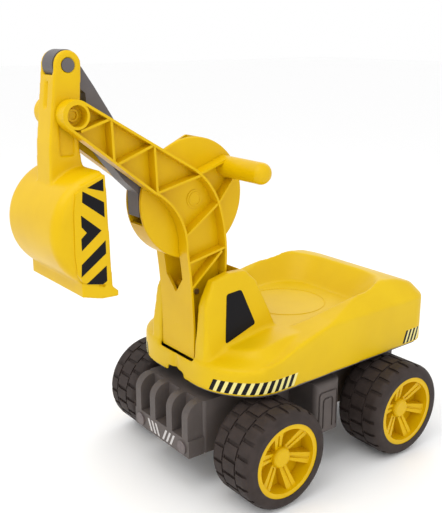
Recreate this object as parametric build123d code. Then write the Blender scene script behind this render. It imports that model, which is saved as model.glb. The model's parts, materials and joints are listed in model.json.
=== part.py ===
"""Ride-on toy excavator in blow- and injection-moulded plastic: chassis on four wheels, turning upper body with
seat and cab, two-part boom, and a bucket arm worked by a crank drum and a link. Millimetres, +Z up, +X forward.

While it is drawn, X = 0 is the turning axis of the upper body. save() then moves every piece by -CENTRE_X,
so that the finished toy is centred over its own footprint."""

import os
from math import atan2, cos, degrees, hypot, radians, sin, sqrt, tan

from build123d import *

os.makedirs("parts", exist_ok=True)

# Overall layout
CENTRE_X = 82.0  # middle of the toy's length, measured from the turning axis
WHEELBASE = 226.0
AXLE_Z = 67.5
WIDTH = 330.0  # over the outer faces of the wheels
WALL = 3.5  # usual moulded wall
GAP = 0.5  # running clearance between faces that move past each other
BORE_PLAY = 0.06  # radial play of a shaft in its bore

# Wheels
TYRE_R = 67.5
TYRE_WIDTH = 74.0
TYRE_BORE_R = 50.0
TREAD_BLOCKS = 20
GROOVE_WIDTH = 5.0
GROOVE_DEPTH = 3.0
TREAD_ROWS = ((142.0, 167.0, 0.0), (117.0, 139.5, 0.5), (89.0, 114.5, 0.0))  # from, to, turn of each row's grooves
RING_GROOVE_WIDTH = 2.5
RING_GROOVE_DEPTH = 2.0
CAVITY_R = 60.0
SHOULDER_R = 11.0
RIM_LIP_R = 43.5  # inside of the thick front of the rim
SPOKES = 6
SPOKE_TURN = 15.0
HUB_R = 14.0
HUB_RECESS = 15.0  # hub face behind the tyre's outer face
WEB_DEPTH = 26.0  # wheel disc behind the rim's outer face
AXLE_R = 4.0
AXLE_END = 146.0
AXLE_BOSS_END = 97.5
NUT_Y = 138.5
PUSH_NUT_R = 7.5

# Chassis
CHASSIS_HALF = 65.0
CHASSIS_BOTTOM = 54.0
CHASSIS_TOP = 128.0
TUB_END = 172.0
NOSE_END = 195.0
BUMPER_TOP = 78.0
BAR_WIDTH = 13.0
BAR_CURVE = 20.0
BAR_CENTRES = (-56.0, -20.0, 20.0, 56.0)
POD_HALF = 23.0
POD_REACH = 119.0
LAMP_R = 9.0
LAMP_Y = 50.0
LAMP_Z = 65.0

# Turntable
RING_R = 60.0
RING_BORE_R = 42.0
RING_TOP = 141.0
KINGPIN_R = 6.0
KINGPIN_HEAD_R = 12.0
KINGPIN_WASHER_R = 16.0

# Upper body
SKIRT_BOTTOM = 143.0
SKIRT_TOP = 177.0
SHOULDER_TOP = 205.0
SHOULDER_TAPER = 40.0
BODY_FRONT = 171.0
BODY_REAR = 200.0
BODY_HALF_FRONT = 129.0
BODY_HALF_REAR = 120.0
SEAT_FRONT = 52.0
SEAT_BACK_FOOT = 112.0
SEAT_HALF = 80.0
SEAT_CORNER_R = 45.0
SEAT_SLOPE = 38.0
SEAT_DISC_X = -25.0
SEAT_DISC_R = 58.0
SEAT_DISC_RISE = 0.8
REST_TOP = 246.0
REST_TAPER = 35.0
CAB_HALF = 68.0  # at the foot
CAB_HALF_TOP = 52.0
CAB_ROOF = 288.0
CAB_CORNER_R = 22.0
SLOT_HALF = 38.5
SLOT_BACK = 84.0
SLOT_SILL = 174.0
FLOOR_THICK = 4.0

# Boom
PIVOT = (132.0, 209.0)  # boom foot
PIVOT_R = 6.0
FOOT_R = 35.0
BOOM_TOE = 175.5
ELBOW = (151.0, 384.0)
ELBOW_PIN_R = 9.0
TIP = (315.0, 498.0)
TIP_R = 17.5
TIP_PIN_R = 5.0
BOOM_HALF = 36.0
WEB_IN = 18.2  # inner face of each boom half's web
WEB_THICK = 2.8
RIB = 3.0
FRONT_WALL_TOP = 282.0
FRONT_WALL_DIP = 22.0

# Crank drum and hand levers
DRUM_R = 77.0
DRUM_HALF = WEB_IN - GAP
DRUM_WALL = 3.5
DRUM_EDGE_R = 2.0
DRUM_FLAT = 63.0  # distance from the axis of the flat that is cut off the right half
DRUM_FLAT_TURN = 65.0
HANDLE = (104.0, 421.0)
HANDLE_R = 13.5
HANDLE_END = 105.0

# Link and bucket arm
CRANK = (212.0, 382.0)
CRANK_PIN_R = 5.0
LINK_TOP = (314.0, 551.0)
LINK_HALF = 12.2
LINK_EYE_R = 16.5
LINK_PIN_R = 7.5
ARM_HALF = WEB_IN - GAP
LUG_R = 16.0
LUG_IN = LINK_HALF + GAP
LUG_WALL = 10.0  # top of the front wall below the link pin's axis
BUCKET_CENTRE = (298.0, 374.0)
BUCKET_R = 66.0
BUCKET_HALF = 64.0
BUCKET_MOUTH = 300.0
BUCKET_EDGE_R = 13.0
CHEEK_BAND = 31.0  # raised band along the mouth of each cheek


def at(x, y, z):
    """A location in the drawing frame."""
    return Pos(x, y, z)


def rod(x, z, radius, y0, y1):
    """Cylinder along Y from y0 to y1."""
    return at(x, (y0 + y1) / 2, z) * Rot(90, 0, 0) * Cylinder(radius, abs(y1 - y0))


def pipe(x, z, outer, inner, y0, y1):
    """Tube along Y from y0 to y1."""
    return rod(x, z, outer, y0, y1) - rod(x, z, inner, y0, y1)


def block(x0, x1, y0, y1, z0, z1):
    """Box between two corners."""
    return at((x0 + x1) / 2, (y0 + y1) / 2, (z0 + z1) / 2) * Box(abs(x1 - x0), abs(y1 - y0), abs(z1 - z0))


def side_wire(edges):
    """Closed wire from edges drawn in the XZ plane."""
    return Wire(edges)


def side_polygon(points):
    """Closed wire of straight runs in the XZ plane."""
    return Wire.make_polygon([Vector(x, 0, z) for x, z in points])


def across(wire, y0, y1):
    """Solid with the wire as its side view, from y0 to y1."""
    face = Face(wire).moved(at(0, y0, 0))
    return Part() + Solid.extrude(face, Vector(0, y1 - y0, 0))


def mirrored(shape):
    """The same shape on the other side of the middle plane."""
    return mirror(shape, about=Plane.XZ)


def save(name, shape):
    """One node, moved into the finished frame."""
    export_step(shape.moved(at(-CENTRE_X, 0, 0)), f"parts/{name}.step")


def point(x, z):
    """Point of a side view."""
    return Vector(x, 0, z)


# Wheels ------------------------------------------------------------------------------------------------------


def tyre(x, side):
    """Soft hollow tyre with rounded shoulders and three staggered rows of tread blocks."""
    outer, inner = WIDTH / 2, WIDTH / 2 - TYRE_WIDTH
    body = rod(0, 0, TYRE_R, inner, outer)
    body = fillet(body.edges().filter_by(GeomType.CIRCLE), SHOULDER_R)
    cuts = [rod(0, 0, TYRE_BORE_R, inner - 1, outer + 1), rod(0, 0, CAVITY_R, inner + 8, outer - 8)]
    for start, stop, turn in TREAD_ROWS:
        for step in range(TREAD_BLOCKS):
            groove = at(TYRE_R, (start + stop) / 2, 0) * Box(2 * GROOVE_DEPTH, stop - start, GROOVE_WIDTH)
            cuts.append(Rot(0, 360.0 * (step + turn) / TREAD_BLOCKS, 0) * groove)
    for (start, _, _), (_, stop, _) in zip(TREAD_ROWS, TREAD_ROWS[1:]):
        middle = (start + stop) / 2
        half = RING_GROOVE_WIDTH / 2
        cuts.append(pipe(0, 0, TYRE_R + 1, TYRE_R - RING_GROOVE_DEPTH, middle - half, middle + half))
    body = (body - cuts).moved(at(x, 0, AXLE_Z))
    return body if side > 0 else mirrored(body)


def rim(x, side):
    """Moulded wheel: barrel inside the tyre, disc, hub and six grooved spokes that widen and rise to the rim."""
    outer, inner = WIDTH / 2 - 1, WIDTH / 2 - TYRE_WIDTH + 1
    disc = outer - WEB_DEPTH
    hub_face = WIDTH / 2 - HUB_RECESS
    body = pipe(x, AXLE_Z, TYRE_BORE_R, TYRE_BORE_R - WALL, inner, outer)
    body += pipe(x, AXLE_Z, TYRE_BORE_R, RIM_LIP_R, disc, outer)
    body += rod(x, AXLE_Z, TYRE_BORE_R - 1, disc, disc + WALL)
    body += rod(x, AXLE_Z, HUB_R, inner + 6, hub_face)
    near, far = HUB_R - 2, RIM_LIP_R + 2
    for step in range(SPOKES):
        turned = at(x, 0, AXLE_Z) * Rot(0, -360.0 * step / SPOKES - SPOKE_TURN, 0)
        wedge = across(side_polygon([(near, -5), (far, -8), (far, 8), (near, 5)]), disc, outer)
        slope = Wire.make_polygon(
            [Vector(near, disc, 0), Vector(far, disc, 0), Vector(far, outer - 4, 0), Vector(near, hub_face - 1, 0)]
        )
        spoke = wedge & (at(0, 0, -10) * (Part() + Solid.extrude(Face(slope), Vector(0, 0, 20))))
        groove = Wire.make_polygon(
            [
                Vector(near + 4, hub_face - 2, 0),
                Vector(RIM_LIP_R - 1, outer - 6, 0),
                Vector(RIM_LIP_R - 1, outer, 0),
                Vector(near + 4, outer, 0),
            ]
        )
        spoke -= at(0, 0, -1.5) * Solid.extrude(Face(groove), Vector(0, 0, 3))
        body += turned * spoke
    body -= rod(x, AXLE_Z, AXLE_R + BORE_PLAY, inner, hub_face + 1)
    body -= rod(x, AXLE_Z, PUSH_NUT_R + 1, hub_face - 12, hub_face + 1)
    return body if side > 0 else mirrored(body)


def hub_cap(x, side):
    """Snap cap that closes the hub over the axle's end."""
    hub_face = WIDTH / 2 - HUB_RECESS
    cap = rod(x, AXLE_Z, HUB_R, hub_face, hub_face + 5)
    cap = fillet(cap.edges().filter_by(GeomType.CIRCLE).sort_by(Axis.Y)[-1], 4.5)
    cap += pipe(x, AXLE_Z, PUSH_NUT_R + 1, PUSH_NUT_R, hub_face - 3, hub_face)
    return cap if side > 0 else mirrored(cap)


def axle(x):
    """Steel rod through the chassis from wheel to wheel."""
    return rod(x, AXLE_Z, AXLE_R, -AXLE_END, AXLE_END)


def push_nuts():
    """Spring-steel caps pressed on the four axle ends."""
    nuts = []
    for x in (-WHEELBASE / 2, WHEELBASE / 2):
        for side in (-1, 1):
            nuts.append(pipe(x, AXLE_Z, PUSH_NUT_R, AXLE_R, side * NUT_Y, side * (NUT_Y + 1.5)))
    return Compound(children=nuts)


# Chassis -----------------------------------------------------------------------------------------------------


def grille_bar(y, end):
    """Upright bar of the grille: straight front, rounded shoulder, back into the tub's end wall."""
    top = CHASSIS_TOP
    front = NOSE_END
    edges = [
        Line(point(TUB_END - 1, CHASSIS_BOTTOM), point(front, CHASSIS_BOTTOM)),
        Line(point(front, CHASSIS_BOTTOM), point(front, top - BAR_CURVE)),
        ThreePointArc(
            point(front, top - BAR_CURVE),
            point(front - BAR_CURVE * (1 - cos(radians(45))), top - BAR_CURVE * (1 - sin(radians(45)))),
            point(front - BAR_CURVE, top),
        ),
        Line(point(front - BAR_CURVE, top), point(TUB_END - 1, top)),
        Line(point(TUB_END - 1, top), point(TUB_END - 1, CHASSIS_BOTTOM)),
    ]
    bar = across(side_wire(edges), y - BAR_WIDTH / 2, y + BAR_WIDTH / 2)
    return bar if end > 0 else mirror(bar, about=Plane.YZ)


def chassis_frame():
    """Open-bottomed tub with a grille at each end and a ribbed pod between the wheels on each side."""
    low, high = CHASSIS_BOTTOM, CHASSIS_TOP
    wall = WALL
    tub = block(-TUB_END, TUB_END, -CHASSIS_HALF, CHASSIS_HALF, low, high)
    tub = fillet(tub.edges().filter_by(Axis.Z), 6)
    pods = block(-POD_HALF, POD_HALF, -POD_REACH, POD_REACH, low, high)
    pods = fillet(pods.edges().filter_by(Axis.Z) + pods.edges().filter_by(Axis.X).group_by(Axis.Z)[-1], 8)
    body = tub + pods
    for end in (1, -1):
        body += block(end * (TUB_END - 1), end * NOSE_END, -CHASSIS_HALF, CHASSIS_HALF, low, BUMPER_TOP)
        for y in BAR_CENTRES:
            body += grille_bar(y, end)
        bumper = block(
            end * TUB_END,
            end * (NOSE_END - wall),
            -CHASSIS_HALF + wall,
            CHASSIS_HALF - wall,
            low,
            BUMPER_TOP - wall,
        )
        body -= bumper
    body -= block(-TUB_END + wall, TUB_END - wall, -CHASSIS_HALF + wall, CHASSIS_HALF - wall, low - 1, high - wall)
    inner_pod = POD_REACH - wall - 3
    body -= block(-POD_HALF + wall, POD_HALF - wall, -inner_pod, inner_pod, low - 1, high - wall)
    # Nested arches on the pods' outer faces
    for side in (-1, 1):
        face = side * POD_REACH
        for half, top in ((POD_HALF - 5, high - 12), (POD_HALF - 13, high - 22)):
            groove = block(-half, half, face - side * 2, face + side, low + 6, top)
            arch = fillet(groove.edges().filter_by(Axis.Y).group_by(Axis.Z)[-1], 7)
            inside = block(-half + 3, half - 3, face - side * 3, face + side * 2, low, top - 3)
            body -= arch - fillet(inside.edges().filter_by(Axis.Y).group_by(Axis.Z)[-1], 5)
    for x in (-WHEELBASE / 2, WHEELBASE / 2):
        for side in (-1, 1):
            y = side * CHASSIS_HALF
            body += rod(x, AXLE_Z, 11, y - side * WALL, side * AXLE_BOSS_END)
            body += block(x - 3, x + 3, y - side * WALL, y + side * 14, AXLE_Z, high - 20)
        body -= rod(x, AXLE_Z, AXLE_R, -WIDTH / 2, WIDTH / 2)
    body -= at(0, 0, high) * Cylinder(KINGPIN_R, 4 * WALL)
    return body


def lamps(end):
    """Two round lamp lenses pressed into one bumper."""
    lens = Rot(0, 90, 0) * Cylinder(LAMP_R, 2)
    return Compound(children=[at(end * (NOSE_END + 1), side * LAMP_Y, LAMP_Z) * lens for side in (-1, 1)])


# Turntable ---------------------------------------------------------------------------------------------------


def turntable_ring():
    """Slide ring on the chassis deck that carries the upper body."""
    height = RING_TOP - CHASSIS_TOP
    ring = at(0, 0, CHASSIS_TOP + height / 2) * (Cylinder(RING_R, height) - Cylinder(RING_BORE_R, height))
    return ring


def kingpin():
    """Shouldered bolt up through the deck, with its head inside the chassis."""
    head_top = CHASSIS_TOP - WALL
    end = RING_TOP + 22
    shank = at(0, 0, (head_top + end) / 2) * Cylinder(KINGPIN_R, end - head_top)
    head = at(0, 0, head_top - 3) * extrude(RegularPolygon(KINGPIN_HEAD_R, 6), 3)
    return shank + head


def kingpin_washer():
    """Large washer that holds the upper body down on the ring."""
    low = RING_TOP + GAP + FLOOR_THICK + GAP
    return at(0, 0, low + 1) * (Cylinder(KINGPIN_WASHER_R, 2) - Cylinder(KINGPIN_R, 2))


def kingpin_nut():
    """Lock nut on the kingpin."""
    low = RING_TOP + GAP + FLOOR_THICK + GAP + 2
    return at(0, 0, low) * (extrude(RegularPolygon(11, 6), 9) - at(0, 0, 4.5) * Cylinder(KINGPIN_R, 9))


# Upper body --------------------------------------------------------------------------------------------------


def body_plan(inset):
    """Plan of the upper body: blunt rounded front, sides that draw in to a squarer rear."""
    front, rear = BODY_FRONT - inset, BODY_REAR - inset
    wide, narrow = BODY_HALF_FRONT - inset, BODY_HALF_REAR - inset
    nose, corner = 42.0 - inset / 2, 24.0
    shoulder = 95.0
    half = [
        Line((front, 0), (front, nose)),
        Spline((front, nose), (152 - inset, 100 - inset), (shoulder, wide), tangents=[(0, 1), (-1, 0)]),
        Line((shoulder, wide), (-rear + corner, narrow)),
        ThreePointArc(
            (-rear + corner, narrow),
            (-rear + corner * (1 - cos(radians(45))), narrow - corner * (1 - sin(radians(45)))),
            (-rear, narrow - corner),
        ),
        Line((-rear, narrow - corner), (-rear, 0)),
    ]
    other = [edge.mirror(Plane.XZ) for edge in half]
    return Face(Wire(half + other))


def tapered(inset, low, high, slope):
    """Body plan drawn up from one height to another with its sides leaning in."""
    lean = (high - low) * tan(radians(slope))
    return loft([body_plan(inset).moved(at(0, 0, low)), body_plan(inset + lean).moved(at(0, 0, high))])


def cab_side(grow):
    """Side view of the cab block, with its raked front and rear."""
    return side_polygon(
        [
            (40 - grow, SKIRT_TOP - 2),
            (68 - grow, 270),
            (84 - grow, CAB_ROOF - 1 + grow),
            (112, CAB_ROOF + grow),
            (138 + grow, CAB_ROOF - 6 + grow),
            (156 + grow, 252),
            (166 + grow, 211),
            (168 + grow, SKIRT_TOP - 2),
        ]
    )


def seat_crest():
    """Side view of the seat surround, rising from the cab to the seat back and down to the tail."""
    return side_polygon(
        [
            (120, SKIRT_TOP - 2),
            (120, 183),
            (60, 200),
            (0, 216),
            (-50, 233),
            (-90, 243),
            (-120, REST_TOP - 1),
            (-150, 241),
            (-188, 229),
            (-203, 205),
            (-203, SKIRT_TOP - 2),
        ]
    )


def seat_dish():
    """Hollow of the seat: flat floor with sloping sides, open towards the cab."""
    length = SEAT_FRONT + 60 + SEAT_BACK_FOOT
    centre = (SEAT_FRONT + 60 - SEAT_BACK_FOOT) / 2
    floor = RectangleRounded(length, 2 * SEAT_HALF, SEAT_CORNER_R)
    return at(centre, 0, SHOULDER_TOP) * extrude(floor, 60, taper=-SEAT_SLOPE)


def cab_block(grow):
    """Cab as the common part of its side view, its front view and its plan, grown or shrunk by a wall."""
    foot, head = SKIRT_TOP - 2, CAB_ROOF + grow + 1
    side = across(cab_side(grow), -BODY_HALF_FRONT, BODY_HALF_FRONT)
    half_low, half_high = CAB_HALF + grow, CAB_HALF_TOP + grow
    front_view = [(half_low, foot), (half_high, head), (-half_high, head), (-half_low, foot)]
    leaning = Face(Wire.make_polygon([Vector(0, y, z) for y, z in front_view]))
    leaning = Part() + Solid.extrude(leaning, Vector(BODY_FRONT + 10, 0, 0))
    plan = RectangleRounded(BODY_FRONT + grow, 2 * half_low, CAB_CORNER_R)
    upright = at((BODY_FRONT + grow) / 2, 0, foot) * extrude(plan, head - foot)
    return side & leaning & upright


def window_outline(grow=0.0):
    """Cab window, wider at its foot, which runs up towards the rear."""
    return side_polygon(
        [(127 + grow, 194 - grow), (118 + grow, 263 + grow), (90 - grow, 265 + grow), (71 - grow, 214 - grow)]
    )


def window(side):
    """Dark glazing panel set into the cab's side, a little proud of it."""
    panel = across(window_outline(), side * SLOT_HALF, side * BODY_HALF_FRONT)
    return panel & (cab_block(0.3) - cab_block(-1))


def body_shell():
    """Yellow upper body in one moulding: skirt, bonnet, cab block around the boom slot, and seat."""
    skirt = extrude(body_plan(0).moved(at(0, 0, SKIRT_BOTTOM)), SKIRT_TOP - SKIRT_BOTTOM)
    bonnet = tapered(0, SKIRT_TOP, SHOULDER_TOP, SHOULDER_TAPER)
    tall = extrude(body_plan(0).moved(at(0, 0, SKIRT_TOP)), 36)
    rest = tapered(0, SKIRT_TOP + 36, SKIRT_TOP + 72, REST_TAPER)
    seat = (tall + rest) & across(seat_crest(), -BODY_HALF_FRONT, BODY_HALF_FRONT)
    body = skirt + bonnet + (seat - seat_dish()) + cab_block(0)
    body += at(SEAT_DISC_X, 0, SHOULDER_TOP + SEAT_DISC_RISE / 2 - 1) * Cylinder(SEAT_DISC_R, SEAT_DISC_RISE + 2)
    # Hollow inside, open below, with a second chamber under the seat back
    body -= extrude(body_plan(WALL).moved(at(0, 0, SKIRT_BOTTOM - 1)), SKIRT_TOP - WALL - SKIRT_BOTTOM + 1)
    body -= tapered(WALL, SKIRT_TOP - WALL - 1, SHOULDER_TOP - WALL - 1, SHOULDER_TAPER)
    body -= block(-BODY_REAR + 14, -SEAT_BACK_FOOT - 26, -92, 92, SKIRT_TOP, 224)
    # Slot for the boom, with its sill at the front
    body -= block(SLOT_BACK, BODY_FRONT - 4.5, -SLOT_HALF, SLOT_HALF, SKIRT_BOTTOM - 1, CAB_ROOF + 5)
    body -= block(BODY_FRONT - 5, BODY_FRONT + 5, -SLOT_HALF, SLOT_HALF, SLOT_SILL, CAB_ROOF + 5)
    chambers = cab_block(-WALL) - across(cab_side(20), -SLOT_HALF - WALL, SLOT_HALF + WALL)
    body -= chambers - rod(*PIVOT, 11, -CAB_HALF, CAB_HALF)
    for side in (-1, 1):
        body += across(cab_side(0), side * SLOT_HALF, side * (SLOT_HALF + WALL))
        body -= rod(PIVOT[0], PIVOT[1], PIVOT_R, side * (SLOT_HALF - 2), side * (SLOT_HALF + 13))
        recess = across(window_outline(0.3), side * SLOT_HALF, side * BODY_HALF_FRONT)
        body -= recess & (cab_block(1) - cab_block(-1))
    # Notch and groove in the middle of the front
    body -= block(BODY_FRONT - 12, BODY_FRONT + 5, -18, 18, SKIRT_BOTTOM - 1, SKIRT_BOTTOM + 8)
    body -= at(BODY_FRONT + 7, 0, SKIRT_BOTTOM + 20) * Cylinder(10, 60)
    return body


def body_floor():
    """Plate that closes the upper body from below and rides on the ring."""
    low = RING_TOP + GAP
    plate = extrude(body_plan(WALL).moved(at(0, 0, low)), FLOOR_THICK)
    plate -= block(BODY_FRONT - 20, BODY_FRONT, -30, 30, low - 1, low + FLOOR_THICK + 1)
    return plate - at(0, 0, low) * Cylinder(KINGPIN_R + BORE_PLAY, 4 * FLOOR_THICK)


def floor_screws():
    """Screws up through the floor plate into the shell."""
    low = RING_TOP + GAP
    places = [(-178, 84), (-178, -84), (60, 108), (60, -108)]
    return Compound(children=[at(x, y, low - 1) * Cylinder(4.5, 2) for x, y in places])


# Boom --------------------------------------------------------------------------------------------------------


def boom_outline():
    """Side view of a boom half: foot, bend at the drum, straight reach to the tip eye."""
    tip_x, tip_z = TIP
    run = atan2(493 - 430, 272 - 167)
    top_tip = point(tip_x - TIP_R * sin(run), tip_z + TIP_R * cos(run))
    low_run = atan2(460 - 401, 306 - 219)
    low_tip = point(tip_x + TIP_R * sin(low_run), tip_z - TIP_R * cos(low_run))
    nose = point(tip_x + TIP_R * cos((run + low_run) / 2), tip_z + TIP_R * sin((run + low_run) / 2))
    foot_x, foot_z = PIVOT
    return [
        Line(point(165, BOOM_TOE), point(165, 215)),
        ThreePointArc(point(165, 215), point(168, 268), point(174, 320)),
        ThreePointArc(point(174, 320), point(187, 371), point(219, 401)),
        Line(point(219, 401), low_tip),
        ThreePointArc(low_tip, nose, top_tip),
        Line(top_tip, point(167, 430)),
        ThreePointArc(point(167, 430), point(140, 408), point(122, 378)),
        ThreePointArc(point(122, 378), point(112, 334), point(112, 285)),
        Line(point(112, 285), point(foot_x - FOOT_R, foot_z)),
        ThreePointArc(
            point(foot_x - FOOT_R, foot_z),
            point(foot_x - FOOT_R * cos(radians(45)), foot_z - FOOT_R * sin(radians(45))),
            point(foot_x, foot_z - FOOT_R),
        ),
        Line(point(foot_x, foot_z - FOOT_R), point(165, BOOM_TOE)),
    ]


def rib(x0, z0, x1, z1, y0, y1, thick=RIB):
    """Straight upright rib between two points of the side view."""
    length = hypot(x1 - x0, z1 - z0)
    turn = degrees(atan2(z1 - z0, x1 - x0))
    bar = Box(length, y1 - y0, thick)
    return at((x0 + x1) / 2, (y0 + y1) / 2, (z0 + z1) / 2) * Rot(0, -turn, 0) * bar


RIBS = [
    (273, 494, 271, 437),
    (217, 460, 214, 399),
    (311, 481, 275, 492),
    (271, 439, 219, 458),
    (214, 401, 148, 416),
    (178, 338, 122, 378),
    (174, 305, 112, 318),
    (170, 268, 118, 314),
]


def boom_half(with_handle):
    """One moulded half: web towards the middle, edge wall and ribs outwards, wall across the front of the foot."""
    outline = side_wire(boom_outline())
    full = across(outline, WEB_IN, BOOM_HALF)
    inner_face = offset(Face(outline), -RIB).face()
    inner = Part() + Solid.extrude(inner_face.moved(at(0, WEB_IN + WEB_THICK, 0)), Vector(0, BOOM_HALF, 0))
    half = full - inner
    ribs = Part()
    for x0, z0, x1, z1 in RIBS:
        ribs += rib(x0, z0, x1, z1, WEB_IN, BOOM_HALF - 1)
    ribs += pipe(*TIP, 15, 12, WEB_IN, BOOM_HALF)
    ribs += rod(*TIP, TIP_PIN_R + 2, WEB_IN, WEB_IN + 6)
    ribs += rod(*ELBOW, ELBOW_PIN_R + RIB, WEB_IN, WEB_IN + WEB_THICK + 1)
    ribs += rod(*PIVOT, 13, WEB_IN, BOOM_HALF)
    half += ribs & full
    half -= rod(*TIP, TIP_PIN_R, 0, BOOM_HALF)
    front_wall = block(150, 200, 0, WEB_IN + 1, BOOM_TOE, FRONT_WALL_TOP)
    front = across(outline, 0, WEB_IN + 1)
    top = FRONT_WALL_TOP
    dip = [Vector(0, -1, top - FRONT_WALL_DIP), Vector(0, 1, top - FRONT_WALL_DIP), Vector(0, WEB_IN + 1, top),
           Vector(0, WEB_IN + 1, top + 9), Vector(0, -1, top + 9)]
    front_wall -= at(140, 0, 0) * Solid.extrude(Face(Wire.make_polygon(dip)), Vector(70, 0, 0))
    half += (front - offset_inside(RIB + 1)) & front_wall
    for x, z in SCREW_PLACES:
        half += rod(x, z, 6, 0, WEB_IN)
    if with_handle:
        web = side_polygon([(150, 418), (104, 436), (90, 424), (92, 408), (120, 375), (150, 380)])
        half += across(web, WEB_IN, WEB_IN + WEB_THICK)
        half += rib(150, 418, 104, 433, WEB_IN, BOOM_HALF - 1)
        half += rib(122, 378, 96, 410, WEB_IN, BOOM_HALF - 1)
        grip = rod(*HANDLE, HANDLE_R, WEB_IN, HANDLE_END)
        half += fillet(grip.edges().filter_by(GeomType.CIRCLE).sort_by(Axis.Y)[-1], HANDLE_R - 2)
    half -= rod(*ELBOW, ELBOW_PIN_R, 0, BOOM_HALF)
    half -= rod(*PIVOT, PIVOT_R + BORE_PLAY, 0, BOOM_HALF + 1)
    for x, z in SCREW_PLACES:
        half -= rod(x, z, SCREW_R, -1, WEB_IN + WEB_THICK)
    return half


SCREW_PLACES = ((150.0, 262.0), (150.0, 190.0))
SCREW_R = 2.0


def offset_inside(inset):
    """The boom outline drawn in by a wall, as a solid across the middle of the boom."""
    face = offset(Face(side_wire(boom_outline())), -inset).face()
    return Part() + Solid.extrude(face.moved(at(0, -BOOM_HALF, 0)), Vector(0, 2 * BOOM_HALF, 0))


def boom_screws():
    """Self-tapping screws that hold the two boom halves together."""
    screws = []
    for x, z in SCREW_PLACES:
        head = rod(x, z, 3.8, WEB_IN + WEB_THICK, WEB_IN + WEB_THICK + 2.4)
        screws.append(rod(x, z, SCREW_R, -WEB_IN + 2, WEB_IN + WEB_THICK) + head)
    return Compound(children=screws)


def foot_pin():
    """Pin through the boom foot, held in the cab's two cheeks."""
    return rod(*PIVOT, PIVOT_R, -SLOT_HALF - 12, SLOT_HALF + 12)


def elbow_pin():
    """Large hollow-looking pin that the drum turns on, flush with the boom webs."""
    return rod(*ELBOW, ELBOW_PIN_R, -WEB_IN - WEB_THICK - 1, WEB_IN + WEB_THICK + 1)


def tip_pin():
    """Pin through the boom tip and the bucket arm."""
    reach = WEB_IN + WEB_THICK + 1
    return rod(*TIP, TIP_PIN_R, -reach, reach)


# Crank drum and right-hand lever -----------------------------------------------------------------------------


def drum_half(side):
    """Dished half of the drum: a disc and half of its rim, open where the link comes out."""
    disc = rod(*ELBOW, DRUM_R, DRUM_HALF - DRUM_WALL, DRUM_HALF)
    disc = fillet(disc.edges().filter_by(GeomType.CIRCLE).sort_by(Axis.Y)[-1], DRUM_EDGE_R)
    rim_wall = pipe(*ELBOW, DRUM_R, DRUM_R - DRUM_WALL, 0, DRUM_HALF - DRUM_WALL)
    reach = 2 * DRUM_R
    start, stop = radians(-20), radians(100)
    mouth = side_polygon(
        [
            ELBOW,
            (ELBOW[0] + reach * cos(start), ELBOW[1] + reach * sin(start)),
            (ELBOW[0] + reach * 1.4, ELBOW[1] + reach * 1.4),
            (ELBOW[0] + reach * cos(stop), ELBOW[1] + reach * sin(stop)),
        ]
    )
    rim_wall -= across(mouth, -1, DRUM_HALF + 1)
    half = disc + rim_wall + rod(*ELBOW, ELBOW_PIN_R + 5, 0, DRUM_HALF)
    half -= rod(*ELBOW, ELBOW_PIN_R + BORE_PLAY, -1, DRUM_HALF + 1)
    if side > 0:
        return half
    flat = at(DRUM_FLAT + 20, 0, 0) * Box(40, 4 * DRUM_HALF, 2 * DRUM_R)
    half -= at(ELBOW[0], 0, ELBOW[1]) * Rot(0, -DRUM_FLAT_TURN, 0) * flat
    return mirrored(half)


def bucket_lever():
    """Right-hand grip screwed to the drum."""
    grip = rod(*HANDLE, HANDLE_R, -HANDLE_END, -DRUM_HALF)
    grip = fillet(grip.edges().filter_by(GeomType.CIRCLE).sort_by(Axis.Y)[0], HANDLE_R - 2)
    return grip


# Link --------------------------------------------------------------------------------------------------------


def link():
    """Grey curved bar from the drum's crank pin up to the top of the bucket arm."""
    bar = side_polygon(
        [(227, 369), (228, 399), (246, 416), (289, 470), (292, 520), (330, 551), (296, 549), (281, 527),
         (259, 492), (214, 420), (198, 392), (199, 369)]
    )
    body = across(bar, -LINK_HALF, LINK_HALF)
    body += rod(*LINK_TOP, LINK_EYE_R, -LINK_HALF, LINK_HALF)
    body -= rod(*LINK_TOP, LINK_PIN_R + BORE_PLAY, -LINK_HALF - 1, LINK_HALF + 1)
    return body - rod(*CRANK, CRANK_PIN_R, -LINK_HALF - 1, LINK_HALF + 1)


def crank_pin():
    """Pin in the link's lower eye; its ends stop just short of the drum's walls."""
    reach = DRUM_HALF - DRUM_WALL - GAP
    return rod(*CRANK, CRANK_PIN_R, -reach, reach)


def link_pin():
    """Pin that joins the link to the arm's two lugs."""
    return rod(*LINK_TOP, LINK_PIN_R, -ARM_HALF, ARM_HALF)


# Bucket arm --------------------------------------------------------------------------------------------------


def arm_outline():
    """Side view of the arm above the bucket, from the lug round the link pin to the flare."""
    ux, uz = LINK_TOP
    return [
        ThreePointArc(point(ux + LUG_R, uz), point(ux, uz + LUG_R), point(ux - LUG_R, uz)),
        Line(point(ux - LUG_R, uz), point(305, 463)),
        Line(point(305, 463), point(301, 434)),
        Line(point(301, 434), point(343, 418)),
        Line(point(343, 418), point(341, 463)),
        Line(point(341, 463), point(ux + LUG_R, uz)),
    ]


def bucket_profile(inset):
    """Side view of the bucket: a little less than a half circle, open at the mouth."""
    cx, cz = BUCKET_CENTRE
    radius = BUCKET_R - inset
    mouth = BUCKET_MOUTH - inset
    rise = sqrt(radius**2 - (mouth - cx) ** 2)
    back = ThreePointArc(point(mouth, cz + rise), point(cx + radius, cz), point(mouth, cz - rise))
    return side_wire([back, Line(point(mouth, cz - rise), point(mouth, cz + rise))])


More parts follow.
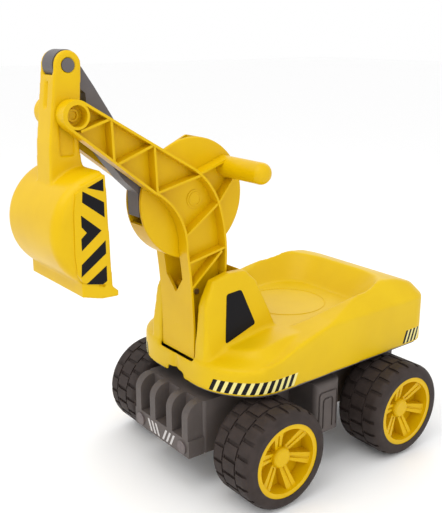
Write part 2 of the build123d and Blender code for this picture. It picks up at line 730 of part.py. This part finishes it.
def bucket_arm():
    """Arm and bucket in one moulding, with the digging lip under the mouth."""
    arm = across(side_wire(arm_outline()), -ARM_HALF, ARM_HALF)
    ux, uz = LINK_TOP
    # Room for the link between the lugs, closed at the front by a wall
    arm -= rod(ux, uz, LINK_EYE_R + GAP, -LUG_IN, LUG_IN)
    arm -= block(ux - 40, ux + 40, -LUG_IN, LUG_IN, uz - LUG_WALL, uz + 30)
    arm -= block(ux - 40, ux + 5, -LUG_IN, LUG_IN, 468, uz)
    bucket = across(bucket_profile(0), -BUCKET_HALF, BUCKET_HALF)
    bucket = fillet(bucket.edges().filter_by(GeomType.CIRCLE), BUCKET_EDGE_R)
    hollow = across(bucket_profile(WALL), -BUCKET_HALF + WALL, BUCKET_HALF - WALL)
    hollow = fillet(hollow.edges().filter_by(GeomType.CIRCLE), BUCKET_EDGE_R - WALL)
    lip = side_polygon([(334, 320), (334, 303), (311, 297), (289, 296), (289, 303), (298, 311), (306, 310)])
    arm += bucket + across(lip, -BUCKET_HALF - 1, BUCKET_HALF + 1)
    cz = BUCKET_CENTRE[1]
    band = side_polygon(
        [
            (BUCKET_MOUTH, cz + 64),
            (BUCKET_MOUTH + CHEEK_BAND, cz + 53),
            (BUCKET_MOUTH + CHEEK_BAND, cz - 53),
            (BUCKET_MOUTH - 4, cz - 64),
        ]
    )
    for side in (-1, 1):
        arm += across(band, side * (BUCKET_HALF - WALL), side * (BUCKET_HALF + 1))
    arm -= across(side_polygon([(332.7, 505), (345, 505), (345, 534), (329.1, 534)]), -3.5, 3.5)
    for side in (-1, 1):
        arm -= block(311, 328, side * (ARM_HALF - 5), side * (ARM_HALF + 1), 453, 490)
    arm -= hollow
    arm -= rod(*TIP, TIP_PIN_R + BORE_PLAY, -ARM_HALF - 1, ARM_HALF + 1)
    return arm - rod(*LINK_TOP, LINK_PIN_R, -ARM_HALF - 1, ARM_HALF + 1)


# Nodes -------------------------------------------------------------------------------------------------------

WHEELS = {
    "front_left": (WHEELBASE / 2, 1),
    "front_right": (WHEELBASE / 2, -1),
    "rear_left": (-WHEELBASE / 2, 1),
    "rear_right": (-WHEELBASE / 2, -1),
}
for place, (wheel_x, wheel_side) in WHEELS.items():
    save(f"tyre_{place}", tyre(wheel_x, wheel_side))
    save(f"rim_{place}", rim(wheel_x, wheel_side))
    save(f"hub_cap_{place}", hub_cap(wheel_x, wheel_side))

save("chassis_frame", chassis_frame())
save("lamps_front", lamps(1))
save("lamps_rear", lamps(-1))
save("axle_front", axle(WHEELBASE / 2))
save("axle_rear", axle(-WHEELBASE / 2))
save("push_nuts", push_nuts())
save("turntable_ring", turntable_ring())
save("kingpin", kingpin())
save("kingpin_washer", kingpin_washer())
save("kingpin_nut", kingpin_nut())

save("body_shell", body_shell())
save("body_floor", body_floor())
save("floor_screws", floor_screws())
save("cab_window_left", window(1))
save("cab_window_right", window(-1))

save("boom_half_left", boom_half(True))
save("boom_half_right", mirrored(boom_half(False)))
save("boom_screws", boom_screws())
save("foot_pin", foot_pin())
save("elbow_pin", elbow_pin())
save("tip_pin", tip_pin())

save("drum_half_left", drum_half(1))
save("drum_half_right", drum_half(-1))
save("bucket_lever", bucket_lever())
save("link", link())
save("crank_pin", crank_pin())
save("link_pin", link_pin())
save("bucket_arm", bucket_arm())
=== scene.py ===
"""Ride-on toy excavator: the looks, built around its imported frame. Sizes in the code are in millimetres,
unless they say metres, and every Blender object is in metres. Along the toy, x is counted from the axis
that the upper body turns on."""

import json
import math

import bmesh
import bpy
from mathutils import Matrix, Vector
from mathutils.bvhtree import BVHTree


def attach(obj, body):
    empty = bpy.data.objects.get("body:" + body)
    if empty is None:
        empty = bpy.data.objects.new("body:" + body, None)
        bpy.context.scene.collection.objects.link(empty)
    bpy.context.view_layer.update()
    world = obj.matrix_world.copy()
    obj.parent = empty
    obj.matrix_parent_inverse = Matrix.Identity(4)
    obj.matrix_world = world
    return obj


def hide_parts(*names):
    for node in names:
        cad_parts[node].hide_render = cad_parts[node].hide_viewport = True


MM = 0.001

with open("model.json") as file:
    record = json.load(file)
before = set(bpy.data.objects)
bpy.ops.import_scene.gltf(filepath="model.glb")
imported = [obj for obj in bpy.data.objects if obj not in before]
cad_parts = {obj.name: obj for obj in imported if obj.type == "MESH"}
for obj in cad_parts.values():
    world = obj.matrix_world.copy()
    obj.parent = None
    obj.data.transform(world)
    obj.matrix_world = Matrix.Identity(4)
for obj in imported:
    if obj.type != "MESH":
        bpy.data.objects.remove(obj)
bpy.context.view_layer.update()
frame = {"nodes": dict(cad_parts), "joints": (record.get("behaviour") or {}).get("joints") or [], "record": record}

joints = {joint["name"]: joint for joint in frame["joints"]}
SWIVEL = Vector(joints["upper_swivel"]["pos_m"])


def at(x, y, z):
    """Point in metres from millimetres counted from the turning axis."""
    return Vector((SWIVEL.x + x * MM, y * MM, z * MM))


# Colours and finishes -------------------------------------------------------------------------------------


def paint(code):
    """Linear colour from an sRGB hex code."""
    channels = [int(code[i : i + 2], 16) / 255 for i in (1, 3, 5)]
    linear = [c / 12.92 if c <= 0.04045 else ((c + 0.055) / 1.055) ** 2.4 for c in channels]
    return (*linear, 1.0)


# Sockets of the colour mix node, which have no names of their own
MIX_SHARE, MIX_FIRST, MIX_SECOND, MIX_RESULT = 0, 6, 7, 2
# Part of a noise's spread that fades from the first colour to the second
CLOUD_LOW = 0.35
CLOUD_HIGH = 0.65


def add(material, kind, values=None, links=None, **settings):
    """Adds a node with its settings, constant inputs and links, and returns it."""
    tree = material.node_tree
    node = tree.nodes.new(kind)
    for name, value in settings.items():
        setattr(node, name, value)
    for name, value in (values or {}).items():
        node.inputs[name].default_value = value
    for name, socket in (links or {}).items():
        tree.links.new(socket, node.inputs[name])
    return node


def finish(name, colour, roughness, ior, specular, grain_mm, grain_depth_mm, clouds=None, **more):
    """Moulded material: a colour, softly clouded with a second one, and a fine grain from the mould."""
    material = bpy.data.materials.new(name)
    material.use_nodes = True
    material.node_tree.nodes.clear()
    place = add(material, "ShaderNodeTexCoord").outputs["Object"]
    grain = add(
        material, "ShaderNodeTexNoise", {"Scale": 1 / (grain_mm * MM), "Detail": 2.0}, {"Vector": place}
    ).outputs["Fac"]
    bump = add(material, "ShaderNodeBump", {"Distance": grain_depth_mm * MM}, {"Height": grain})
    links = {"Normal": bump.outputs["Normal"]}
    if clouds:
        second, cloud_mm = clouds
        cloud = add(
            material, "ShaderNodeTexNoise", {"Scale": 1 / (cloud_mm * MM), "Detail": 3.0}, {"Vector": place}
        ).outputs["Fac"]
        spread = add(
            material, "ShaderNodeMapRange", {"From Min": CLOUD_LOW, "From Max": CLOUD_HIGH}, {"Value": cloud}
        ).outputs["Result"]
        mix = add(material, "ShaderNodeMix", data_type="RGBA")
        mix.inputs[MIX_FIRST].default_value = paint(colour)
        mix.inputs[MIX_SECOND].default_value = paint(second)
        material.node_tree.links.new(spread, mix.inputs[MIX_SHARE])
        links["Base Color"] = mix.outputs[MIX_RESULT]
    values = {"Base Color": paint(colour), "Roughness": roughness, "IOR": ior, "Specular IOR Level": specular}
    values.update(more)
    shader = add(material, "ShaderNodeBsdfPrincipled", values, links)
    add(material, "ShaderNodeOutputMaterial", links={"Surface": shader.outputs["BSDF"]})
    return material


def blow_moulded_polyethylene():
    """Yellow polyethylene of the shell: waxy and deep, with soft broad highlights and a faint orange peel."""
    return finish("blow_moulded_polyethylene", "#DBB600", 0.4, 1.51, 0.2, 3.0, 0.08, ("#D6B000", 60))


def moulded_yellow_polypropylene():
    """Yellow injection-moulded polypropylene: a little crisper and glossier than the shell."""
    return finish("moulded_yellow_polypropylene", "#DAB200", 0.36, 1.49, 0.2, 1.6, 0.02, ("#D5AC00", 45))


def moulded_dark_polypropylene():
    """Charcoal polypropylene with a matt spark-eroded grain, which greys it in the light."""
    return finish("moulded_dark_polypropylene", "#5F5754", 0.5, 1.49, 0.25, 0.9, 0.05, ("#57504D", 30))


def moulded_grey_polypropylene():
    """Mid-grey polypropylene of the link: matt, with a slight sheen on its edges."""
    return finish("moulded_grey_polypropylene", "#5E595A", 0.42, 1.49, 0.4, 1.2, 0.03, ("#575253", 30))


def soft_tyre():
    """Brown-black soft plastic tyre: dull, with a dry bloom in patches and a pebbled skin."""
    return finish("soft_tyre", "#322A27", 0.62, 1.5, 0.2, 1.4, 0.12, ("#3A312E", 14))


def printed_film():
    """Near-black printed film: smooth and glossy, so it takes clean reflections."""
    return finish("printed_film", "#0C0A0E", 0.25, 1.5, 0.15, 6.0, 0.01)


def pale_printed_film():
    """Pale yellow printed film between the black bars: smoother and lighter than the plastic under it."""
    return finish("pale_printed_film", "#E9DC8A", 0.3, 1.5, 0.3, 6.0, 0.01)


def light_grey_film():
    """Light grey printed film of the bumper's mark."""
    return finish("light_grey_film", "#C6C2C0", 0.35, 1.5, 0.3, 6.0, 0.01)


def lamp_film():
    """Grey printed lamp disc, with a low gloss."""
    return finish("lamp_film", "#5C5251", 0.35, 1.5, 0.4, 6.0, 0.01, ("#6B6160", 6))


def zinc_plated_steel():
    """Zinc-plated steel, grey with a soft shine and fine drawn marks."""
    return finish("zinc_plated_steel", "#B9BCC0", 0.35, 1.5, 0.5, 0.8, 0.01, Metallic=1.0)


POLYETHYLENE = blow_moulded_polyethylene()
POLYPROPYLENE = moulded_yellow_polypropylene()
BLACK_FILM = printed_film()
PALE_FILM = pale_printed_film()
GREY_FILM = light_grey_film()

SLOT_FINISH = {
    "yellow_plastic": POLYPROPYLENE,
    "dark_plastic": moulded_dark_polypropylene(),
    "grey_plastic": moulded_grey_polypropylene(),
    "tyre": soft_tyre(),
    "lamp_lens": lamp_film(),
    "window_film": BLACK_FILM,
    "zinc_steel": zinc_plated_steel(),
}
slot_of = {part["node"]: part["material_slot"] for part in frame["record"]["subparts"]}


def coat(piece, material):
    """Gives the piece one finish."""
    piece.data.materials.clear()
    piece.data.materials.append(material)


SHARP_EDGE = math.radians(35)


def smooth(piece):
    """Smooth shading that keeps the sharp edges."""
    mesh = piece.data
    for polygon in mesh.polygons:
        polygon.use_smooth = True
    mesh.set_sharp_from_angle(angle=SHARP_EDGE)


for name, node in frame["nodes"].items():
    coat(node, SLOT_FINISH[slot_of[name]])
    smooth(node)


# Moulded pieces with soft edges ---------------------------------------------------------------------------


# Share of the way that a point moves towards its neighbours in each round
EASE = 0.5
SHELL_VOXEL = 2.0
SHELL_ROUNDS = 16
BUCKET_VOXEL = 1.5
BUCKET_ROUNDS = 6


def baked(piece):
    """Gives the piece the mesh that its modifiers make, and takes them off."""
    bpy.context.view_layer.update()
    depsgraph = bpy.context.evaluated_depsgraph_get()
    mesh = bpy.data.meshes.new_from_object(piece.evaluated_get(depsgraph))
    piece.modifiers.clear()
    piece.data = mesh


def relaxed(node, name, material, voxel_mm, rounds, fillers=(), shape=None):
    """Fine even copy of a node with its edges and corners eased, as a mould leaves them, which replaces the
    node. Fillers are nodes joined to it first, to fill their recesses. Shape moves its points before they are
    eased."""
    work = bmesh.new()
    for part in (node, *fillers):
        work.from_mesh(frame["nodes"][part].data)
    mesh = bpy.data.meshes.new(name)
    work.to_mesh(mesh)
    work.free()
    piece = bpy.data.objects.new(name, mesh)
    bpy.context.scene.collection.objects.link(piece)
    remesh = piece.modifiers.new("remesh", "REMESH")
    remesh.mode = "VOXEL"
    remesh.voxel_size = voxel_mm * MM
    baked(piece)
    if shape:
        for vertex in piece.data.vertices:
            vertex.co = shape(vertex.co)
    ease = piece.modifiers.new("ease", "SMOOTH")
    ease.factor = EASE
    ease.iterations = rounds
    baked(piece)
    coat(piece, material)
    for polygon in piece.data.polygons:
        polygon.use_smooth = True
    body = next(body for body, names in frame["record"]["behaviour"]["bodies"].items() if node in names)
    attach(piece, body)
    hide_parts(node)
    return piece


def step_up(value, low, high):
    """0 below low, 1 above high, and a soft S between them."""
    share = min(max((value - low) / (high - low), 0.0), 1.0)
    return share * share * (3 - 2 * share)


# Most that the cab leans forward, and where the lean starts and is full
CAB_LEAN = 8.0
LEAN_START_Z = 200
LEAN_FULL_Z = 292
LEAN_START_X = 20
LEAN_FULL_X = 60
LEAN_HALF_WIDTH = 75

# Most that the bonnet falls, where the fall starts and is full, and where it fades out up the cab's side
BONNET_FALL = 12.0
FALL_START_X = 55
FALL_FULL_X = 150
FALL_START_Z = 176
FALL_FULL_Z = 203
FADE_START_Z = 212
FADE_END_Z = 262


def swept(place):
    """Leans the cab a little forward and lets the bonnet fall away towards the nose."""
    x, y, z = (place - at(0, 0, 0)) / MM
    lean = 0.0
    if abs(y) < LEAN_HALF_WIDTH:
        lean = CAB_LEAN * step_up(z, LEAN_START_Z, LEAN_FULL_Z) * step_up(x, LEAN_START_X, LEAN_FULL_X)
    along = step_up(x, FALL_START_X, FALL_FULL_X)
    up = step_up(z, FALL_START_Z, FALL_FULL_Z)
    fade = 1 - step_up(z, FADE_START_Z, FADE_END_Z)
    return at(x + lean, y, z - BONNET_FALL * along * up * fade)


WINDOW_NODES = ("cab_window_left", "cab_window_right")
SHELL = relaxed(
    "body_shell", "seat_and_cab_shell", POLYETHYLENE, SHELL_VOXEL, SHELL_ROUNDS, WINDOW_NODES, swept
)
relaxed("bucket_arm", "bucket_and_arm", POLYPROPYLENE, BUCKET_VOXEL, BUCKET_ROUNDS)


# Printed films, plates and beads --------------------------------------------------------------------------

# Height of a film above its surface, and its depth below it
FILM_RISE = 0.25 * MM
FILM_ROOT = 0.6 * MM


def film(name, patches, material, body):
    """Thin plates in one piece. Each patch is rows of (point, outward normal), all the same length."""
    points, faces = [], []
    for rows in patches:
        start, wide, tall = len(points), len(rows[0]), len(rows)
        flat = [pair for row in rows for pair in row]
        points += [place + normal * FILM_RISE for place, normal in flat]
        points += [place - normal * FILM_ROOT for place, normal in flat]
        under = wide * tall
        for i in range(tall - 1):
            for j in range(wide - 1):
                corner = start + i * wide + j
                quad = [corner, corner + 1, corner + wide + 1, corner + wide]
                faces.append(quad)
                faces.append([point + under for point in reversed(quad)])
        rim = [start + j for j in range(wide)]
        rim += [start + i * wide + wide - 1 for i in range(1, tall)]
        rim += [start + (tall - 1) * wide + j for j in range(wide - 2, -1, -1)]
        rim += [start + i * wide for i in range(tall - 2, 0, -1)]
        for one, two in zip(rim, rim[1:] + rim[:1]):
            faces.append([two, one, one + under, two + under])
    stick(name, points, faces, material, body)


def stick(name, points, faces, material, body):
    """Object from points and faces, with its normals turned outwards, riding on a body."""
    mesh = bpy.data.meshes.new(name)
    mesh.from_pydata(points, [], faces)
    work = bmesh.new()
    work.from_mesh(mesh)
    bmesh.ops.recalc_face_normals(work, faces=work.faces)
    work.to_mesh(mesh)
    work.free()
    piece = bpy.data.objects.new(name, mesh)
    bpy.context.scene.collection.objects.link(piece)
    coat(piece, material)
    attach(piece, body)
    return piece


def flat_film(name, outlines, normal, material, body, root=FILM_ROOT):
    """Flat printed shapes, or a flat plate with a deeper root, in one piece."""
    points, faces = [], []
    for outline in outlines:
        start, count = len(points), len(outline)
        points += [place + normal * FILM_RISE for place in outline]
        points += [place - normal * root for place in outline]
        faces.append([start + i for i in range(count)])
        faces.append([start + count + i for i in range(count)][::-1])
        for i in range(count):
            j = (i + 1) % count
            faces.append([start + j, start + i, start + count + i, start + count + j])
    stick(name, points, faces, material, body)


BEAD_SHOULDER = 0.3
BEAD_STEPS = 72


def bead(name, centre, axis, outer, inner, root, rise, material, body):
    """Low round bead about an axis, rooted a little below a surface."""
    turn = axis.to_track_quat("Z", "Y")
    profile = (
        (outer, -root),
        (outer, rise - BEAD_SHOULDER),
        (outer - BEAD_SHOULDER, rise),
        (inner + BEAD_SHOULDER, rise),
        (inner, rise - BEAD_SHOULDER),
        (inner, -root),
    )
    count = len(profile)
    points = []
    for i in range(BEAD_STEPS):
        angle = math.tau * i / BEAD_STEPS
        for radius, height in profile:
            offset = Vector((math.cos(angle) * radius, math.sin(angle) * radius, height)) * MM
            points.append(centre + turn @ offset)
    faces = []
    for i in range(BEAD_STEPS):
        j = (i + 1) % BEAD_STEPS
        for k in range(count):
            after = (k + 1) % count
            faces.append([i * count + k, j * count + k, j * count + after, i * count + after])
    stick(name, points, faces, material, body)


# Beads round the ends of the elbow pin, and round the seat's disc. The roots reach below the surfaces.
PIN_END_Y = 22.0
PIN_BEAD_OUTER = 9.4
PIN_BEAD_INNER = 7.4
PIN_BEAD_ROOT = 1.2
PIN_BEAD_RISE = 0.9
elbow = Vector(joints["bucket_crank"]["pos_m"])
for side, hand in ((1, "left"), (-1, "right")):
    pin_end = Vector((elbow.x, side * PIN_END_Y * MM, elbow.z))
    bead(
        f"elbow_pin_bead_{hand}",
        pin_end,
        Vector((0, side, 0)),
        PIN_BEAD_OUTER,
        PIN_BEAD_INNER,
        PIN_BEAD_ROOT,
        PIN_BEAD_RISE,
        POLYPROPYLENE,
        "boom",
    )

SEAT_DISC = at(-25, 0, 205.8)
SEAT_BEAD_OUTER = 58
SEAT_BEAD_INNER = 56.8
SEAT_BEAD_ROOT = 1.5
SEAT_BEAD_RISE = 0.4
bead(
    "seat_disc_bead",
    SEAT_DISC,
    Vector((0, 0, 1)),
    SEAT_BEAD_OUTER,
    SEAT_BEAD_INNER,
    SEAT_BEAD_ROOT,
    SEAT_BEAD_RISE,
    POLYETHYLENE,
    "upper",
)

# Floors of the shallow recesses in the sides of the arm, x and z of their corners
RECESS = ((309, 451), (330, 451), (330, 492), (309, 492))
RECESS_Y = 14.0
for side, hand in ((1, "left"), (-1, "right")):
    floor_outline = [[at(x, side * RECESS_Y, z) for x, z in RECESS]]
    outward = Vector((0, side, 0))
    flat_film(f"arm_recess_{hand}", floor_outline, outward, POLYPROPYLENE, "arm")

# Black chevrons down the cheeks of the bucket, x and z of each outline
CHEEK_SHAPES = (
    ((323, 425), (303.5, 433), (303.5, 419)),
    ((329, 422), (303.5, 407), (303.5, 390), (330, 410)),
    ((332, 396), (308, 376), (333, 356.5), (333, 370), (326, 376), (332, 383)),
    ((334, 341), (303.5, 364), (303.5, 349), (335, 327)),
    ((329, 318), (303.5, 335), (303.5, 317), (309, 314)),
)
# Raised band along the mouth that carries them
CHEEK_BAND = (
    (301, 435),
    (325, 427),
    (337, 420),
    (340, 400),
    (341, 350),
    (339, 330),
    (333, 320),
    (301, 312.5),
)
BAND_Y = 65.0
BAND_ROOT = 4.0 * MM
CHEEK_Y = 65.2
for side, hand in ((1, "left"), (-1, "right")):
    outward = Vector((0, side, 0))
    band = [[at(x, side * BAND_Y, z) for x, z in CHEEK_BAND]]
    flat_film(f"cheek_band_{hand}", band, outward, POLYPROPYLENE, "arm", BAND_ROOT)
    outlines = [[at(x, side * CHEEK_Y, z) for x, z in shape] for shape in CHEEK_SHAPES]
    flat_film(f"cheek_chevrons_{hand}", outlines, outward, BLACK_FILM, "arm")

# Surface of the eased shell, on which films are laid
skin = BVHTree.FromPolygons(
    [vertex.co for vertex in SHELL.data.vertices], [polygon.vertices for polygon in SHELL.data.polygons]
)


RAY_START = 0.4  # metres out from the centre, clear of the skirt


def on_skirt(angle, z, centre):
    """Point of the skirt and its outward normal, seen level from a centre at an angle from straight ahead."""
    outward = Vector((math.cos(angle), math.sin(angle), 0))
    place, normal, _, _ = skin.ray_cast(at(*centre, z) + outward * RAY_START, -outward)
    return place, Vector((normal.x, normal.y, 0)).normalized()


BAR_LEAN = 7 * MM
BLACK_SHARE = 0.55  # of each bar's pitch, and the rest is pale
BAND_SAMPLES = 80
PATCH_ROWS = 4
PATCH_COLUMNS = 3


def hazard_band(name, centre, start, stop, bars, low, high):
    """Strip of slanting bars, black and pale in turn, wrapped round the skirt between two angles."""
    middle = (low + high) / 2
    angles = [start + (stop - start) * i / BAND_SAMPLES for i in range(BAND_SAMPLES + 1)]
    places = [on_skirt(angle, middle, centre)[0] for angle in angles]
    lengths = [0.0]
    for one, two in zip(places, places[1:]):
        lengths.append(lengths[-1] + (two - one).length)

    def along(distance):
        distance = min(max(distance, 0.0), lengths[-1])
        i = max(i for i in range(BAND_SAMPLES) if lengths[i] <= distance)
        share = (distance - lengths[i]) / (lengths[i + 1] - lengths[i])
        return angles[i] + (angles[i + 1] - angles[i]) * share

    def patch(foot, width):
        rows = []
        for i in range(PATCH_ROWS + 1):
            z = low + (high - low) * i / PATCH_ROWS
            left = foot + BAR_LEAN * i / PATCH_ROWS
            steps = [left + width * j / PATCH_COLUMNS for j in range(PATCH_COLUMNS + 1)]
            rows.append([on_skirt(along(step), z, centre) for step in steps])
        return rows

    pitch = (lengths[-1] - BAR_LEAN) / bars
    dark = [patch(pitch * i, pitch * BLACK_SHARE) for i in range(bars)]
    pale = [patch(pitch * (i + BLACK_SHARE), pitch * (1 - BLACK_SHARE)) for i in range(bars)]
    film(f"{name}_black", dark, BLACK_FILM, "upper")
    film(f"{name}_pale", pale, PALE_FILM, "upper")


# Centre that each strip is seen from, its first and last angle, its number of bars, and its edges' heights
FRONT_CENTRE = (66, 60)
FRONT_ANGLES = (math.radians(6), math.radians(90))
FRONT_BARS = 11
FRONT_EDGES = (147, 163)
REAR_CENTRE = (-166, 40)
REAR_ANGLES = (math.radians(77), math.radians(105))
REAR_BARS = 4
REAR_EDGES = (147, 166)
for side, hand in ((1, "left"), (-1, "right")):
    for end, centre, angles, bars, edges in (
        ("front", FRONT_CENTRE, FRONT_ANGLES, FRONT_BARS, FRONT_EDGES),
        ("rear", REAR_CENTRE, REAR_ANGLES, REAR_BARS, REAR_EDGES),
    ):
        middle = (centre[0], side * centre[1])
        hazard_band(f"{end}_stripes_{hand}", middle, side * angles[0], side * angles[1], bars, *edges)

# Cab windows: corners of the glazing, x and z, and how far from each its rounding starts
WINDOW = ((134, 198), (127, 262), (103, 264), (84, 215))
WINDOW_CORNER = 4.0
CORNER_STEPS = 4
# Rings that fill the glazing, from its edge to near its middle
WINDOW_RINGS = (1.0, 0.75, 0.5, 0.25, 0.02)
WINDOW_RISE = 2 * FILM_RISE
RAY_START_Y = 200  # clear of the cab's side


def rounded(corners, reach):
    """Outline with its corners rounded."""
    outline = []
    for i, corner in enumerate(corners):
        here = Vector(corner)
        before = (Vector(corners[i - 1]) - here).normalized()
        after = (Vector(corners[(i + 1) % len(corners)]) - here).normalized()
        for step in range(CORNER_STEPS + 1):
            share = step / CORNER_STEPS
            outline.append(here + before * reach * (1 - share) ** 2 + after * reach * share**2)
    return outline


def window_panel(name, side):
    """Glazing laid on the leaning side of the cab, with rounded corners."""
    outline = rounded(WINDOW, WINDOW_CORNER)
    middle = sum(outline, Vector((0, 0))) / len(outline)
    rings = []
    for share in WINDOW_RINGS:
        ring = []
        for corner in outline:
            x, z = middle + (corner - middle) * share
            place, normal, _, _ = skin.ray_cast(at(x, side * RAY_START_Y, z), Vector((0, -side, 0)))
            ring.append((place, normal))
        rings.append(ring)
    points = [place + normal * WINDOW_RISE for ring in rings for place, normal in ring]
    points += [place - normal * FILM_ROOT for ring in rings for place, normal in ring]
    count, under = len(outline), len(outline) * len(rings)
    faces = []
    for i in range(len(rings) - 1):
        for j in range(count):
            k = (j + 1) % count
            quad = [i * count + j, i * count + k, (i + 1) * count + k, (i + 1) * count + j]
            faces += [quad, [corner + under for corner in reversed(quad)]]
    last = (len(rings) - 1) * count
    faces += [[last + j for j in range(count)], [last + under + j for j in reversed(range(count))]]
    faces += [[j, (j + 1) % count, (j + 1) % count + under, j + under] for j in range(count)]
    piece = stick(name, points, faces, BLACK_FILM, "upper")
    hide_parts("cab_window_left" if side > 0 else "cab_window_right")


window_panel("window_left", 1)
window_panel("window_right", -1)

# Plain slanting bars between the lamps, leaning out to both sides
BUMPER_X = 195.0
MARK_BARS_Y = (-27, -18, -9, 9, 18, 27)
MARK_HALF_WIDTH = 2
MARK_LEAN = 4
MARK_LOW = 57
MARK_HIGH = 73
for end, name in ((1, "front"), (-1, "rear")):
    bars = []
    for y in MARK_BARS_Y:
        foot = y - math.copysign(MARK_LEAN, y)
        head = y + math.copysign(MARK_LEAN, y)
        corners = (
            (foot - MARK_HALF_WIDTH, MARK_LOW),
            (foot + MARK_HALF_WIDTH, MARK_LOW),
            (head + MARK_HALF_WIDTH, MARK_HIGH),
            (head - MARK_HALF_WIDTH, MARK_HIGH),
        )
        bars.append([at(end * BUMPER_X, across, z) for across, z in corners])
    flat_film(f"bumper_mark_{name}", bars, Vector((end, 0, 0)), GREY_FILM, "chassis")


# Camera, light and floor ----------------------------------------------------------------------------------

CAMERA_PLACE = at(717.2, 816.5, 588.5)
CAMERA_HEADING = math.radians(232.61)
CAMERA_PITCH = math.radians(-15.99)
CAMERA_LENS = 55.73
SENSOR_WIDTH = 36.0


def camera():
    """Product view from the front left, a little above the toy."""
    data = bpy.data.cameras.new("camera")
    data.lens = CAMERA_LENS
    data.sensor_width = SENSOR_WIDTH
    view = bpy.data.objects.new("camera", data)
    view.location = CAMERA_PLACE
    ahead = Vector(
        (
            math.cos(CAMERA_HEADING) * math.cos(CAMERA_PITCH),
            math.sin(CAMERA_HEADING) * math.cos(CAMERA_PITCH),
            math.sin(CAMERA_PITCH),
        )
    )
    view.rotation_euler = ahead.to_track_quat("-Z", "Y").to_euler()
    bpy.context.scene.collection.objects.link(view)
    bpy.context.scene.camera = view


LIT_POINT = (0.0, 0.0, 0.25)  # metres, near the middle of the toy
FLOOR_REACH = 12.0  # metres each way
FLOOR_DROP = 0.0005  # metres below the wheels


def softbox(name, place, size, power):
    """Square white area light turned to the toy. Place and size are in metres, and power in watts."""
    data = bpy.data.lights.new(name, "AREA")
    data.shape = "SQUARE"
    data.size = size
    data.energy = power
    light = bpy.data.objects.new(name, data)
    light.location = place
    light.rotation_euler = (Vector(LIT_POINT) - Vector(place)).to_track_quat("-Z", "Y").to_euler()
    bpy.context.scene.collection.objects.link(light)


def studio():
    """White sweep, pale surroundings and three softboxes."""
    world = bpy.data.worlds.new("studio")
    world.use_nodes = True
    surroundings = world.node_tree.nodes["Background"].inputs
    surroundings["Color"].default_value = paint("#FFFFFF")
    surroundings["Strength"].default_value = 1.0
    bpy.context.scene.world = world
    softbox("key", (0.9, 0.2, 1.7), 1.2, 10)
    softbox("fill", (0.2, 1.6, 0.9), 1.4, 3)
    softbox("back", (-1.2, -0.8, 1.3), 1.0, 3)
    mesh = bpy.data.meshes.new("floor")
    corners = [(x * FLOOR_REACH, y * FLOOR_REACH, 0) for x, y in ((-1, -1), (1, -1), (1, 1), (-1, 1))]
    mesh.from_pydata(corners, [], [(0, 1, 2, 3)])
    floor = bpy.data.objects.new("floor", mesh)
    floor.location.z = -FLOOR_DROP
    bpy.context.scene.collection.objects.link(floor)
    coat(floor, finish("white_sweep", "#FDFDFD", 0.9, 1.4, 0.1, 3.0, 0.01))
    bpy.context.scene.view_settings.view_transform = "Standard"


camera()
studio()
